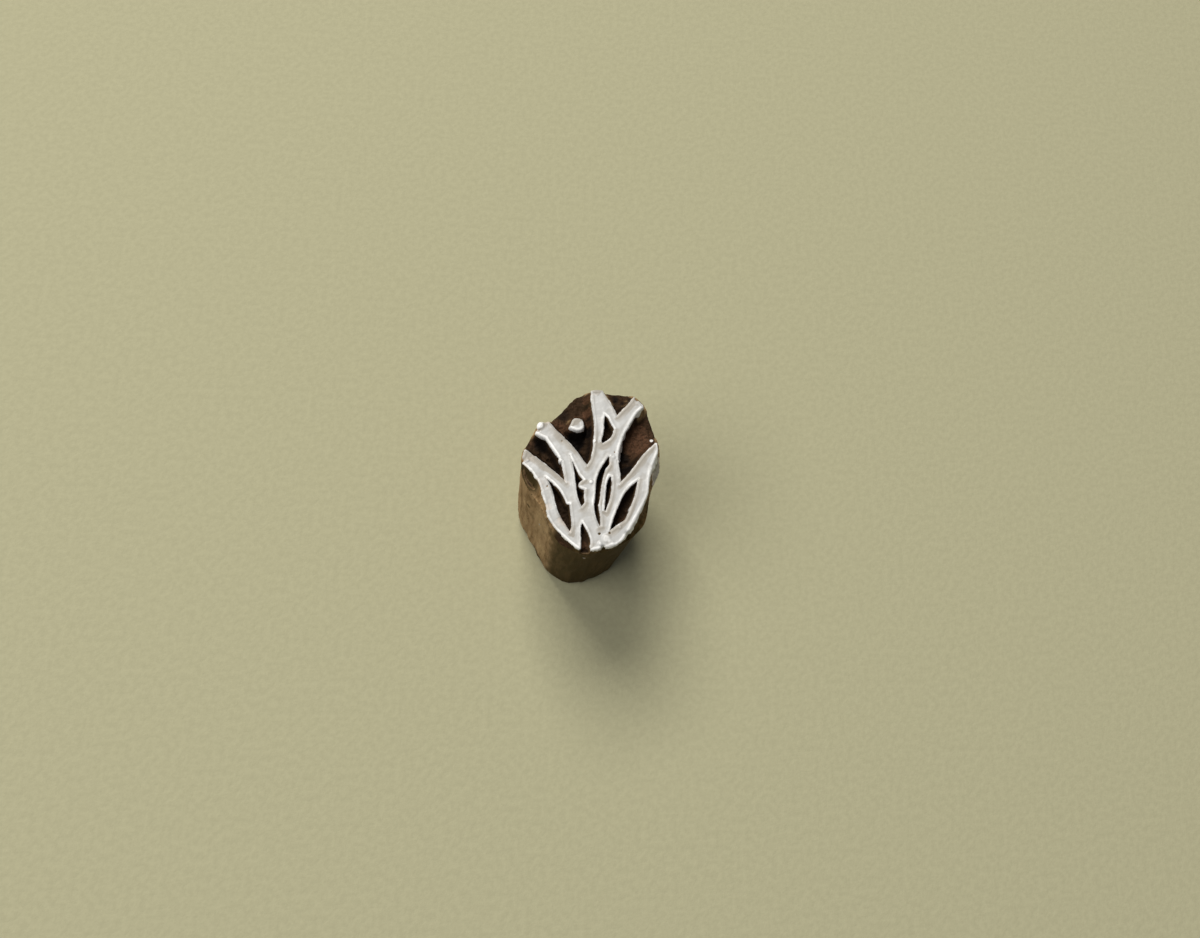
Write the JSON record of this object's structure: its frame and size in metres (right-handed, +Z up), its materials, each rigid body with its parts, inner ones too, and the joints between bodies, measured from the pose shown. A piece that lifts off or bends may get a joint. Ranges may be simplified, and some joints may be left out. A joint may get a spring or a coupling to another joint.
{
  "type": "wooden stamp",
  "caption": "Hand-carved wooden printing stamp: a small upright block whose top is cut in relief as a tuft of leaves with a dot, under a coat of dried white paint.",
  "frame": {"origin": "middle of the foot that the block stands on", "axes": "+Z up from the foot to the carved face, +Y along the stem of the tuft to its tip, +X to the right when the face is read from above"},
  "size_m": [0.0284, 0.0342, 0.045],
  "materials": {
    "carved_block": "bare close-grained hardwood, handled and stained darker in the cut-back pockets",
    "paint": "dried white printing paint, semi-gloss, thin over the raised faces"
  },
  "bodies": {
    "root": {"carved_block": "carved_block", "tuft_paint": "paint", "dot_paint": "paint", "flank_paint_run": "paint", "paint_flecks": "paint"}
  },
  "joints": []
}
